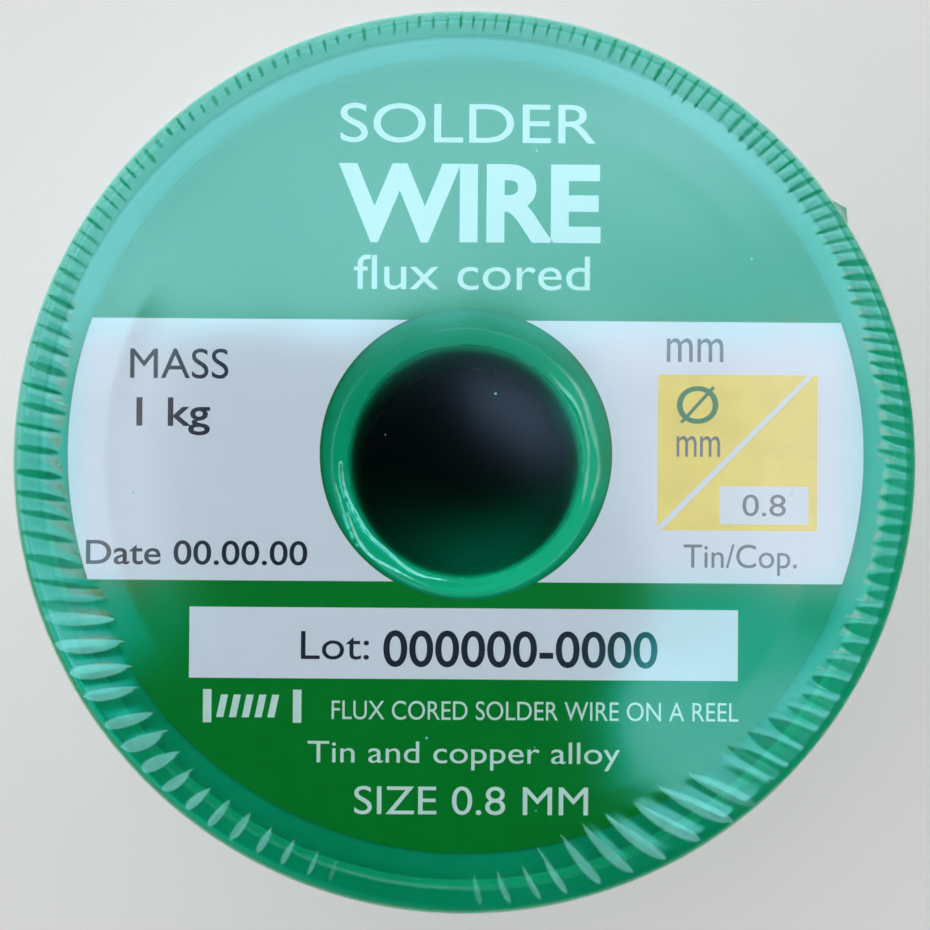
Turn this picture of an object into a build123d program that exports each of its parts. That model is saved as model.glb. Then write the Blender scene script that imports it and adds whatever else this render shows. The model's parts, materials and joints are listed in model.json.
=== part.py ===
from build123d import *
import os

# A 1 kg reel of 0.8 mm solder wire in clear shrink film. Millimetres. The reel lies flat on its rear
# flange: the spool axis is Z, the labelled front looks up (+Z), the label's text reads along +X, and the
# origin is on the axis at the surface that the reel lies on.

# Spool
reel_width = 50.0
flange_diameter = 95.6
flange_thickness = 3.8
edge_round = 1.4
rim_inner_diameter = 89.8
recess_diameter = 88.6
recess_depth = 0.8
bore_diameter = 25.0
lip_diameter = 28.6
lip_depth = 1.9
lip_round = 0.45
recess_round = 0.25
rim_inner_round = 0.8

# Core, with the sockets that hold it in the flanges
drum_diameter = 45.0
drum_wall = 2.0
bore_tube_wall = 2.0
rib_count = 6
rib_thickness = 1.6
rib_setback = 6.4
socket_clearance = 0.05
bore_boss_wall = 1.8
bore_boss_height = 6.0
drum_spigot_wall = 1.3
drum_spigot_height = 5.0

# Moulding marks on the flange's outer face
ejector_count = 6
ejector_diameter = 4.0
ejector_depth = 0.15
ejector_circle = 56.0
ejector_start_angle = 30.0

# Wire
wire_diameter = 0.8
wound_diameter = 88.6
top_layer_height = 29.0
nesting = 0.87
winding_gap = 0.05
start_hole_diameter = 2.2
start_hole_circle = 47.6
start_bend = 1.3
start_tail = 13.0
end_angle = -62.0
end_arc = 44.0

# Tape that holds the wire's outer end
tape_width = 14.0
tape_thickness = 0.12
tape_arc = 26.0

# Label
label_diameter = 84.3
label_hole_diameter = 30.7
label_thickness = 0.1
label_centre = (0.1, 0.75)
label_hole_centre = (0.13, 0.76)

# Shrink film, a dome bag drawn over the front and gathered on the rear
film_thickness = 0.15
film_gap = 0.05
mouth_diameter = 64.0

# Levels and radii that follow
reel_bottom = film_thickness + film_gap
reel_top = reel_bottom + reel_width
flange_radius = flange_diameter / 2
rim_inner_radius = rim_inner_diameter / 2
recess_radius = recess_diameter / 2
bore_radius = bore_diameter / 2
bore_tube_radius = bore_radius + bore_tube_wall
drum_radius = drum_diameter / 2
drum_inner_radius = drum_radius - drum_wall
core_bottom = reel_bottom + flange_thickness
core_length = reel_width - 2 * flange_thickness
core_top = core_bottom + core_length
wire_radius = wire_diameter / 2
label_floor = reel_top - recess_depth
top_layer_level = core_bottom + top_layer_height
wound_radius = wound_diameter / 2
lower_layer_radius = wound_radius - nesting * wire_diameter
wire_seat_gap = 0.02
wire_end_seat = lower_layer_radius + wire_radius + wire_seat_gap
wire_end_level = top_layer_level + wire_radius + wire_seat_gap

# Half sections are drawn with the distance from the axis across and the depth below a flange's outer face
# up, so one drawing serves both flanges.
REAR_SECTION = Plane(origin=(0, 0, reel_bottom), x_dir=(1, 0, 0), z_dir=(0, -1, 0))
FRONT_SECTION = Plane(origin=(0, 0, reel_top), x_dir=(1, 0, 0), z_dir=(0, 1, 0))


def flange_outline():
    """One flange's half section: bore and lip, label recess, rim, inner face and the two core sockets."""
    boss_inner = bore_tube_radius + socket_clearance
    boss_outer = boss_inner + bore_boss_wall
    boss_top = flange_thickness + bore_boss_height
    spigot_outer = drum_inner_radius - socket_clearance
    spigot_inner = spigot_outer - drum_spigot_wall
    spigot_top = flange_thickness + drum_spigot_height
    round_centre = flange_radius - edge_round
    outer_edge = CenterArc((round_centre, edge_round), edge_round, -90, 90)
    inner_edge = CenterArc((round_centre, flange_thickness - edge_round), edge_round, 0, 90)
    Line(outer_edge @ 1, inner_edge @ 0)
    Polyline(
        inner_edge @ 1,
        (spigot_outer, flange_thickness),
        (spigot_outer, spigot_top),
        (spigot_inner, spigot_top),
        (spigot_inner, flange_thickness),
        (boss_outer, flange_thickness),
        (boss_outer, boss_top),
        (boss_inner, boss_top),
        (boss_inner, flange_thickness),
        (bore_radius, flange_thickness),
        (bore_radius, lip_depth),
    )
    FilletPolyline(
        (bore_radius, lip_depth),
        (lip_diameter / 2, recess_depth),
        (recess_radius, recess_depth),
        (rim_inner_radius, 0),
        outer_edge @ 0,
        radius=[lip_round, recess_round, rim_inner_round],
    )


def make_front_flange():
    """Front flange, which the label is stuck to."""
    with BuildPart() as front_flange:
        with BuildSketch(FRONT_SECTION):
            with BuildLine():
                flange_outline()
            make_face()
        revolve(axis=Axis.Z)
    return front_flange


def make_rear_flange():
    """Rear flange, from the same mould, with its ejector marks showing and the hole for the wire's start."""
    with BuildPart() as rear_flange:
        with BuildSketch(REAR_SECTION):
            with BuildLine():
                flange_outline()
            make_face()
        revolve(axis=Axis.Z)
        with BuildSketch(Plane.XY.offset(reel_bottom)):
            with Locations((start_hole_circle / 2, 0)):
                Circle(start_hole_diameter / 2)
        extrude(amount=flange_thickness, mode=Mode.SUBTRACT)
        with BuildSketch(Plane.XY.offset(reel_bottom + recess_depth)):
            with PolarLocations(ejector_circle / 2, ejector_count, ejector_start_angle):
                Circle(ejector_diameter / 2)
        extrude(amount=ejector_depth, mode=Mode.SUBTRACT)
    return rear_flange


def make_core_barrel():
    """Core: the drum that the wire is wound on and the bore tube inside it, joined by radial ribs."""
    rib_length = drum_inner_radius - bore_tube_radius + drum_wall / 2 + bore_tube_wall / 2
    rib_middle = (drum_radius - drum_wall / 2 + bore_radius + bore_tube_wall / 2) / 2
    with BuildPart() as core_barrel:
        with BuildSketch(Plane.XY.offset(core_bottom)):
            Circle(drum_radius)
            Circle(drum_inner_radius, mode=Mode.SUBTRACT)
            Circle(bore_tube_radius)
            Circle(bore_radius, mode=Mode.SUBTRACT)
        extrude(amount=core_length)
        with BuildSketch(Plane.XY.offset(core_bottom + rib_setback)):
            with PolarLocations(rib_middle, rib_count):
                Rectangle(rib_length, rib_thickness)
        extrude(amount=core_length - 2 * rib_setback)
    return core_barrel


def make_solder_winding():
    """The wound wire as one body: a top layer that stops short of the front flange, over a full one."""
    inner = drum_radius + winding_gap
    bottom = core_bottom + winding_gap
    top = core_top - winding_gap
    with BuildPart() as solder_winding:
        with BuildSketch(Plane.XZ):
            with BuildLine():
                Polyline(
                    (inner, bottom),
                    (wound_radius, bottom),
                    (wound_radius, top_layer_level),
                    (lower_layer_radius, top_layer_level),
                    (lower_layer_radius, top),
                    (inner, top),
                    close=True,
                )
            make_face()
        revolve(axis=Axis.Z)
    return solder_winding


def make_wire_start():
    """The wire's inner end: it comes out through the rear flange's hole and is bent flat in the recess."""
    hole_x = start_hole_circle / 2
    tail_level = reel_bottom + recess_depth - wire_radius - winding_gap
    with BuildPart() as wire_start:
        with BuildLine():
            FilletPolyline(
                (hole_x, 0, core_bottom),
                (hole_x, 0, tail_level),
                (hole_x, start_tail, tail_level),
                radius=start_bend,
            )
        with BuildSketch(Plane.XY.offset(core_bottom)):
            with Locations((hole_x, 0)):
                Circle(wire_radius)
        sweep()
    return wire_start


def make_wire_end():
    """The last stretch of the top layer's last turn, which ends under the tape."""
    with BuildPart() as wire_end:
        with BuildSketch(Plane.XZ.rotated((0, 0, end_angle))):
            with Locations((wire_end_seat, wire_end_level)):
                Circle(wire_radius)
        revolve(axis=Axis.Z, revolution_arc=end_arc)
    return wire_end


def make_end_tape():
    """A short strip of tape over the wire's outer end, curved to the winding."""
    middle = wire_end_seat + wire_radius + wire_seat_gap + tape_thickness / 2
    with BuildPart() as end_tape:
        with BuildSketch(Plane.XZ.rotated((0, 0, end_angle - tape_arc / 2))):
            with Locations((middle, wire_end_level)):
                Rectangle(tape_thickness, tape_width)
        revolve(axis=Axis.Z, revolution_arc=tape_arc)
    return end_tape


def make_front_label():
    """The round label, die cut, stuck a little off centre in the front recess."""
    with BuildPart() as front_label:
        with BuildSketch(Plane.XY.offset(label_floor)):
            with Locations(label_centre):
                Circle(label_diameter / 2)
            with Locations(label_hole_centre):
                Circle(label_hole_diameter / 2, mode=Mode.SUBTRACT)
        extrude(amount=label_thickness)
    return front_label


def film_outline(clearance):
    """Half section of a skin of this clearance round the reel, drawn flat across both recesses."""
    round_centre = flange_radius - edge_round
    corner = edge_round + clearance
    front_edge = CenterArc((round_centre, reel_top - edge_round), corner, 0, 90)
    rear_edge = CenterArc((round_centre, reel_bottom + edge_round), corner, -90, 90)
    Line(rear_edge @ 1, front_edge @ 0)
    Polyline(
        front_edge @ 1,
        (0, reel_top + clearance),
        (0, reel_bottom - clearance),
        rear_edge @ 0,
    )


def make_shrink_film():
    """Clear film over the front, the sides and the rear rim, open round the hub on the rear."""
    with BuildPart() as shrink_film:
        with BuildSketch(Plane.XZ):
            with BuildLine():
                film_outline(film_gap + film_thickness)
            make_face()
            with BuildLine():
                film_outline(film_gap)
            make_face(mode=Mode.SUBTRACT)
        revolve(axis=Axis.Z)
        with BuildSketch(Plane.XY):
            Circle(mouth_diameter / 2)
        extrude(amount=reel_bottom, mode=Mode.SUBTRACT)
    return shrink_film


pieces = {
    "front_flange": make_front_flange(),
    "rear_flange": make_rear_flange(),
    "core_barrel": make_core_barrel(),
    "solder_winding": make_solder_winding(),
    "wire_start": make_wire_start(),
    "wire_end": make_wire_end(),
    "end_tape": make_end_tape(),
    "front_label": make_front_label(),
    "shrink_film": make_shrink_film(),
}

os.makedirs("parts", exist_ok=True)
for name, piece in pieces.items():
    piece.part.label = name
    export_step(piece.part, f"parts/{name}.step")
    print(name, round(piece.part.volume, 1), "mm3")
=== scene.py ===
import json
import math

import bpy
import numpy as np
from mathutils import Matrix, Vector, noise


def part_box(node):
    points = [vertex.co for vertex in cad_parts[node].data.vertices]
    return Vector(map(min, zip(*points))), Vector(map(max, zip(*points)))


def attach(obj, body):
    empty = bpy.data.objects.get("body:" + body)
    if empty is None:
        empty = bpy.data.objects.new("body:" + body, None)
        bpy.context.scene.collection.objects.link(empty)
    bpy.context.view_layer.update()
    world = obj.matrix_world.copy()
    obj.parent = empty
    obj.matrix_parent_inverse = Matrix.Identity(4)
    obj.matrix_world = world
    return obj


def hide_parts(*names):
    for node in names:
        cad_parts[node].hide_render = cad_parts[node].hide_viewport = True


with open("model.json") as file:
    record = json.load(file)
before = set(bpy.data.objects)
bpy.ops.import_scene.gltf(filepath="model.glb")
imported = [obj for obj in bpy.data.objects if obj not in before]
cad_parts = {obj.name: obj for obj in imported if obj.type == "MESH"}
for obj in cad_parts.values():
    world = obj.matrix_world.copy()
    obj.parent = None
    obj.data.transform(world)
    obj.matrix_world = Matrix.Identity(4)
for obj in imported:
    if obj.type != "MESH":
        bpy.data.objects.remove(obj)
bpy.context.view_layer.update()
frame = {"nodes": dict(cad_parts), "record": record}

# Looks for the solder wire spool. Shapes are worked out in millimetres in the CAD frame and go to
# Blender in metres: the spool axis is Z, the labelled front looks up and the label reads along +X.
MM = 0.001
rng = np.random.default_rng(80)


def node_box(name):
    """A CAD node's lowest and highest corners in millimetres."""
    low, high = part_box(name)
    return np.array(low) / MM, np.array(high) / MM


flange_high = node_box("front_flange")[1]
rear_low = node_box("rear_flange")[0]
label_low, label_high = node_box("front_label")
winding_low, winding_high = node_box("solder_winding")
wire_low, wire_high = node_box("wire_end")
tape_low, tape_high = node_box("end_tape")

FLANGE_RADIUS = flange_high[0]
REEL_TOP = flange_high[2]
REEL_BOTTOM = rear_low[2]
LABEL_TOP = label_high[2]
LABEL_RADIUS = (label_high[0] - label_low[0]) / 2
LABEL_CENTRE = (label_low[:2] + label_high[:2]) / 2
EDGE_ROUND = 1.4
RIM_INNER_RADIUS = 44.9
LABEL_HOLE_RADIUS = 15.35
WIRE_DIAMETER = 0.8
WIRE_PITCH = 0.82
NESTED_DROP = 0.87 * WIRE_DIAMETER
WOUND_RADIUS = winding_high[0]
CLEARANCE = 0.05
WIRE_END_ANGLE = -62.0
TAPE_ANGLES = (-75.0, -49.0)


def smoothstep(low, high, value):
    """0 below low and 1 above high, with a smooth rise between them. Works on arrays."""
    t = np.clip((value - low) / (high - low), 0, 1)
    return t * t * (3 - 2 * t)


def bell(value, middle, width):
    """1 at middle, with a smooth fall to 0 on both sides of it. Works on arrays."""
    return np.exp(-(((value - middle) / width) ** 2))


def by_angle(keys, degrees):
    """A value read from (angle, value) keys round the circle, straight between keys."""
    angles, values = zip(*keys)
    return np.interp(degrees, angles, values, period=360)


def wavy(points, scale, seed):
    """Smooth noise from -1 to 1 at each of the points, which are rows of x, y, z."""
    shift = Vector((seed * 7.3, seed * 3.1, seed * 5.7))
    return np.array([noise.noise(Vector(p) * scale + shift) for p in points])


# ---------------- mesh and material helpers


def mesh_piece(name, points, faces, material, slot=None, smooth=True, values=None):
    """A mesh object from points in millimetres, riding on the spool, with point values for its material."""
    mesh = bpy.data.meshes.new(name)
    mesh.from_pydata((np.asarray(points, float) * MM).tolist(), [], faces)
    mesh.polygons.foreach_set("use_smooth", [smooth] * len(mesh.polygons))
    for key, array in (values or {}).items():
        array = np.asarray(array, np.float32)
        if array.ndim == 1:
            layer = mesh.attributes.new(key, "FLOAT", "POINT")
            layer.data.foreach_set("value", array)
        else:
            rgba = np.concatenate([array, np.ones((len(array), 1), np.float32)], 1)
            layer = mesh.attributes.new(key, "FLOAT_COLOR", "POINT")
            layer.data.foreach_set("color", rgba.ravel())
    mesh.materials.append(material)
    mesh.validate()
    mesh.update()
    piece = bpy.data.objects.new(name, mesh)
    bpy.context.collection.objects.link(piece)
    if slot:
        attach(piece, "root")
    return piece


def ring_faces(start_a, start_b, count):
    """Quads between two closed rings of the same number of points."""
    faces = []
    for i in range(count):
        j = (i + 1) % count
        faces.append((start_a + i, start_a + j, start_b + j, start_b + i))
    return faces


def grid_faces(rows, columns):
    """Quads between the points of a grid, which lie row after row."""
    corners = [i * columns + j for i in range(rows - 1) for j in range(columns - 1)]
    return [(a, a + 1, a + columns + 1, a + columns) for a in corners]


def fan_faces(start_coarse, start_fine, coarse, ratio):
    """Faces between a coarse closed ring and one with ratio times as many points."""
    faces = []
    for i in range(coarse):
        j = (i + 1) % coarse
        fine = [start_fine + (i * ratio + k) % (coarse * ratio) for k in range(ratio, -1, -1)]
        faces.append((start_coarse + i, start_coarse + j, *fine))
    return faces


def prism(name, outline, low, high, material, slot):
    """A thin closed plate with the given 2-D outline."""
    count = len(outline)
    points = [(x, y, low) for x, y in outline] + [(x, y, high) for x, y in outline]
    faces = [tuple(range(count - 1, -1, -1)), tuple(range(count, 2 * count))]
    faces += ring_faces(0, count, count)
    mesh_piece(name, points, faces, material, slot, smooth=False)


def add_node(tree, kind, links=None, **settings):
    """A shader node with its settings, and with a link or a value for each socket in links."""
    made = tree.nodes.new("ShaderNode" + kind)
    for key, value in settings.items():
        setattr(made, key, value)
    for socket, value in (links or {}).items():
        if isinstance(value, bpy.types.NodeSocket):
            tree.links.new(value, made.inputs[socket])
        else:
            made.inputs[socket].default_value = value
    return made


class Material:
    """A node material being built: nodes and links in few words."""

    def __init__(self, name):
        self.material = bpy.data.materials.new(name)
        self.material.use_nodes = True
        self.tree = self.material.node_tree
        self.tree.nodes.clear()
        self.output = self.tree.nodes.new("ShaderNodeOutputMaterial")

    def node(self, kind, links=None, **settings):
        return add_node(self.tree, kind, links, **settings)

    def math(self, operation, a, b=0.0, clamp=False):
        return self.node("Math", {0: a, 1: b}, operation=operation, use_clamp=clamp).outputs[0]

    def place(self):
        return self.node("TexCoord").outputs["Object"]

    def from_axis(self):
        """Distance from the spool's axis, in metres."""
        flat = self.node("VectorMath", {0: self.place(), 1: (1.0, 1.0, 0.0)}, operation="MULTIPLY")
        return self.node("VectorMath", {0: flat.outputs[0]}, operation="LENGTH").outputs["Value"]

    def noise(self, scale, detail=3.0):
        made = self.node("TexNoise", {"Vector": self.place(), "Scale": scale, "Detail": detail})
        return made.outputs["Fac"]

    def span(self, value, low, high, to_low=0.0, to_high=1.0):
        """value from low..high to to_low..to_high, clamped."""
        return self.node("MapRange", {0: value, 1: low, 2: high, 3: to_low, 4: to_high}).outputs[0]

    def blend(self, factor, a, b):
        """From colour a to colour b: each is a socket or three numbers."""
        a, b = [c if isinstance(c, bpy.types.NodeSocket) else (*c, 1.0) for c in (a, b)]
        return self.node("Mix", {0: factor, 6: a, 7: b}, data_type="RGBA").outputs[2]

    def bump(self, height, strength, distance):
        made = self.node("Bump", {"Height": height, "Strength": strength, "Distance": distance})
        return made.outputs["Normal"]

    def finish(self, shader):
        self.tree.links.new(shader, self.output.inputs["Surface"])
        return self.material


# In metres, like all places in the materials.
# HUB_EDGE and HUB_TOP bound the painted glow on the plastic near the hub and down the bore.
HUB_EDGE = (0.0138, 0.0146)
HUB_TOP = 0.049
PLASTIC_COLOURS = ((0.001, 0.27, 0.12), (0.002, 0.31, 0.145))


def plastic_material(name, low_rough, high_rough, shine, hub_glow_colour, hub_glow_level):
    """Moulded styrene: a faint swirl in the colour, with a fine texture and handling marks in the gloss. Near
    the hub and above the given level it is painted paler: a painted glow for light that comes through the
    thin hub and down the bore."""
    m = Material(name)
    swirl = m.noise(60.0, 4.0)
    grain = m.noise(2600.0, 2.0)
    handling = m.noise(240.0, 5.0)
    height = m.node("SeparateXYZ", {0: m.place()}).outputs["Z"]
    # Painted light: near the hub and above the given level the plastic is paler, a painted glow for light
    # that comes through the thin hub and down the bore.
    inside_edge = m.span(m.from_axis(), *HUB_EDGE, 1.0, 0.0)
    painted_hub_glow = m.math("MULTIPLY", inside_edge, m.span(height, hub_glow_level, HUB_TOP))
    solid = m.blend(m.span(swirl, 0.3, 0.7), *PLASTIC_COLOURS)
    colour = m.blend(painted_hub_glow, solid, hub_glow_colour)
    rough = m.span(handling, 0.3, 0.75, low_rough, high_rough)
    normal = m.bump(grain, 0.12, 0.00004)
    shader = m.node("BsdfPrincipled", {"Base Color": colour, "Roughness": rough, "Normal": normal})
    shader.inputs["Specular IOR Level"].default_value = shine
    return m.finish(shader.outputs[0])


PRINT_SHINE = 0.03


def print_material(name, colour, unevenness=0.06, roughness=0.42):
    """Printed ink on coated paper: slightly uneven ink over a fine paper grain."""
    m = Material(name)
    ink = m.noise(420.0, 4.0)
    fibre = m.noise(5200.0, 2.0)
    darker = tuple(c * (1 - unevenness) for c in colour)
    mixed = m.blend(m.span(ink, 0.35, 0.65), darker, colour)
    rough = m.span(fibre, 0.3, 0.7, roughness - 0.05, roughness + 0.08)
    shader = m.node("BsdfPrincipled", {
        "Base Color": mixed,
        "Roughness": rough,
        "Normal": m.bump(fibre, 0.08, 0.00002),
    })
    shader.inputs["Specular IOR Level"].default_value = PRINT_SHINE
    return m.finish(shader.outputs[0])


def solder_material():
    """Bright tin alloy wire, slightly dulled by oxide and drawn along its length."""
    m = Material("solder_wire")
    dull = m.noise(180.0, 5.0)
    drawn = m.noise(3000.0, 2.0)
    colour = m.blend(m.span(dull, 0.35, 0.7), (0.72, 0.73, 0.74), (0.58, 0.59, 0.61))
    rough = m.span(dull, 0.3, 0.7, 0.3, 0.42)
    shader = m.node("BsdfPrincipled", {
        "Base Color": colour,
        "Roughness": rough,
        "Normal": m.bump(drawn, 0.06, 0.00003),
    })
    shader.inputs["Metallic"].default_value = 1.0
    return m.finish(shader.outputs[0])


def tape_material():
    """Matte masking tape: creped paper with fine cross ridges."""
    m = Material("masking_tape")
    crepe = m.noise(900.0, 4.0)
    blotch = m.noise(150.0, 3.0)
    colour = m.blend(m.span(blotch, 0.3, 0.7), (0.74, 0.66, 0.46), (0.8, 0.73, 0.55))
    rough = m.span(crepe, 0.3, 0.7, 0.7, 0.9)
    shader = m.node("BsdfPrincipled", {
        "Base Color": colour,
        "Roughness": rough,
        "Normal": m.bump(crepe, 0.5, 0.00006),
    })
    return m.finish(shader.outputs[0])


FILM_CLEAR = (0.975, 0.99, 0.985, 1.0)
# Diffuse colour of the film's milkiness, also used as painted sky reflection and painted highlights on the
# rim's pleats.
FILM_HAZE_AND_SHEEN = (0.26, 0.78, 0.7)
FILM_FOLDED = (0.005, 0.32, 0.17)
MIRROR_FACING = 0.076
MIRROR_GRAZING = 0.5
MIRROR_MATT = 0.05
FILM_ROUGHNESS = 0.07
DUST_EDGE = (0.025, 0.05)
DUST_LEVEL = 0.5
CLEAN_SHARE = 0.8


def film_material():
    """Clear shrink film: passes what is behind it, mirrors softly, and has a few specks of dust. Where it is
    gathered it is milk-white, and the same diffuse colour also carries painted sky reflection and painted
    highlights on the rim's pleats. Its point values say how milk-white and painted bright, how matt and how
    green it is at a point."""
    m = Material("shrink_film")
    # This point value is milkiness together with painted sky reflection and painted highlights.
    gathered = m.node("Attribute", attribute_name="haze_and_sheen").outputs["Fac"]
    cloud = m.noise(700.0, 3.0)
    milky_and_sheen = m.math("MULTIPLY", gathered, m.span(cloud, 0.3, 0.7, 0.6, 0.78), clamp=True)
    cells = m.node("TexVoronoi", {"Vector": m.place(), "Scale": 260.0, "Randomness": 1.0})
    speck = m.span(cells.outputs["Distance"], *DUST_EDGE, 1.0, 0.0)
    lot = m.node("SeparateColor", {0: cells.outputs["Color"]}).outputs[0]
    chosen = m.math("GREATER_THAN", lot, CLEAN_SHARE)
    dust = m.math("MULTIPLY", m.math("MULTIPLY", speck, chosen), DUST_LEVEL)
    solid = m.math("MAXIMUM", milky_and_sheen, dust)
    clear = m.node("BsdfTransparent", {"Color": FILM_CLEAR})
    folded = m.node("Attribute", attribute_name="fold").outputs["Fac"]
    tint = m.blend(folded, FILM_HAZE_AND_SHEEN, FILM_FOLDED)
    cloudy_and_sheen = m.node("BsdfDiffuse", {"Color": tint})
    body = m.node("MixShader", {0: solid, 1: clear.outputs[0], 2: cloudy_and_sheen.outputs[0]})
    edge = m.node("LayerWeight", {"Blend": 0.5}).outputs["Facing"]
    grazing = m.math("MULTIPLY", m.math("POWER", edge, 5.0), MIRROR_GRAZING)
    mirror = m.math("ADD", grazing, MIRROR_FACING, clamp=True)
    matt = m.node("Attribute", attribute_name="matt").outputs["Fac"]
    mirror = m.math("MULTIPLY", mirror, m.span(matt, 0.0, 1.0, 1.0, MIRROR_MATT))
    gloss = m.node("BsdfGlossy", {"Roughness": FILM_ROUGHNESS})
    shader = m.node("MixShader", {0: mirror, 1: body.outputs[0], 2: gloss.outputs[0]})
    return m.finish(shader.outputs[0])


PLAIN_RED = 0.93
PLAIN_GREEN = 0.97
# A path that has crossed more skins of the film than this comes from inside it.
INSIDE_FILM = 2.5


def glow_material(name):
    """A studio light's surface, with its colour and strength at each point in the glow values. What is inside
    the film, such as the bright wire, mirrors it without its tint."""
    m = Material(name)
    glow = m.node("Attribute", attribute_name="glow").outputs["Color"]
    blue = m.node("SeparateColor", {0: glow}).outputs[2]
    red_part = m.math("MULTIPLY", blue, PLAIN_RED)
    green_part = m.math("MULTIPLY", blue, PLAIN_GREEN)
    plain = m.node("CombineColor", {0: red_part, 1: green_part, 2: blue}).outputs[0]
    skins_crossed = m.node("LightPath").outputs["Transparent Depth"]
    colour = m.blend(m.math("GREATER_THAN", skins_crossed, INSIDE_FILM), glow, plain)
    return m.finish(m.node("Emission", {"Color": colour}).outputs[0])


# ---------------- CAD nodes that stay


def finish_cad_nodes():
    """Gives each CAD node that stays its material."""
    # Both plastics carry the painted glow: a paler lip on the front flange, and a bore wall that is paler
    # towards its mouth.
    outside = plastic_material(
        "green_plastic",
        low_rough=0.2,
        high_rough=0.36,
        shine=0.03,
        hub_glow_colour=(0.0005, 0.42, 0.215),
        hub_glow_level=0.042,
    )
    looks = {
        "reel_plastic": outside,
        "solder": solder_material(),
        "label": print_material("label_green", (0.0002, 0.2, 0.018)),
    }
    inside = plastic_material(
        "green_plastic_inside",
        low_rough=0.5,
        high_rough=0.7,
        shine=0.0,
        hub_glow_colour=(0.001, 0.42, 0.22),
        hub_glow_level=0.02,
    )
    for part in frame["record"]["subparts"]:
        material = looks.get(part["material_slot"])
        if part["node"] == "core_barrel":
            material = inside
        if material:
            for slot in frame["nodes"][part["node"]].material_slots:
                slot.material = material


# ---------------- label print

LABEL_TURN = math.radians(-0.4)
INK = 0.004
BAND_TOP = 14.2
BAND_BOTTOM = -13.5


def on_label(x, y):
    """A place on the label, from its centre and along its own text, as model x and y."""
    turned_x = x * math.cos(LABEL_TURN) - y * math.sin(LABEL_TURN)
    turned_y = x * math.sin(LABEL_TURN) + y * math.cos(LABEL_TURN)
    return turned_x + LABEL_CENTRE[0], turned_y + LABEL_CENTRE[1]


def print_plate(name, outline, layer, material):
    """A printed area: layer 1 is on the label and each further layer is on the one below."""
    low = LABEL_TOP + (layer - 1) * INK
    prism(name, [on_label(*p) for p in outline], low, low + INK, material, "label")


def box_outline(left, right, bottom, top):
    return [(left, bottom), (right, bottom), (right, top), (left, top)]


def arc(radius, start, end, count):
    """Points on a circle round the label's centre, in order from start to end."""
    return [(radius * math.cos(a), radius * math.sin(a)) for a in np.linspace(start, end, count)]


def band_outline():
    """The right half of the white band, between the label's hole and its edge."""
    edge = LABEL_RADIUS - 0.03
    hole = LABEL_HOLE_RADIUS + 0.02
    outer = arc(edge, math.asin(BAND_BOTTOM / edge), math.asin(BAND_TOP / edge), 25)
    inner = arc(hole, math.asin(BAND_TOP / hole), math.asin(BAND_BOTTOM / hole), 41)
    return outer + inner


def text_plate(name, words, centre, height, width, layer, material, weight=0.0):
    """Lettering as a thin closed solid, scaled to a height and width about its centre on the label."""
    curve = bpy.data.curves.new(name, "FONT")
    curve.body = words
    curve.offset = weight
    curve.resolution_u = 6
    curve.extrude = 0.5
    holder = bpy.data.objects.new(name + "_curve", curve)
    bpy.context.collection.objects.link(holder)
    graph = bpy.context.evaluated_depsgraph_get()
    mesh = bpy.data.meshes.new_from_object(holder.evaluated_get(graph))
    bpy.data.objects.remove(holder)
    co = np.array([v.co for v in mesh.vertices])
    low, high = co.min(0), co.max(0)
    part = (co - (low + high) / 2) / (high - low)
    x, y = on_label(centre[0] + part[:, 0] * width, centre[1] + part[:, 1] * height)
    z = LABEL_TOP + (layer - 1) * INK + (part[:, 2] + 0.5) * INK
    mesh.vertices.foreach_set("co", (np.stack([x, y, z], 1) * MM).ravel())
    mesh.name = name
    mesh.materials.clear()
    mesh.materials.append(material)
    piece = bpy.data.objects.new(name, mesh)
    bpy.context.collection.objects.link(piece)
    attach(piece, "root")


def spool_symbol(material):
    """A generic picture of a reel from the side: two cheeks with slanted turns between them."""
    left, right, bottom, top = -27.6, -17.2, -28.5, -25.0
    cheek = 0.9
    outlines = [
        box_outline(left, left + cheek, bottom, top),
        box_outline(right - cheek, right, bottom, top),
    ]
    turn_width, lean, gap = 0.75, 0.5, 1.35
    inset = 0.55
    x = left + cheek + 0.5
    while x + turn_width + lean < right - cheek - 0.1:
        outlines.append([
            (x, bottom + inset),
            (x + turn_width, bottom + inset),
            (x + turn_width + lean, top - inset),
            (x + lean, top - inset),
        ])
        x += gap
    for index, outline in enumerate(outlines):
        print_plate(f"label_symbol_{index + 1}", outline, 1, material)


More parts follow.
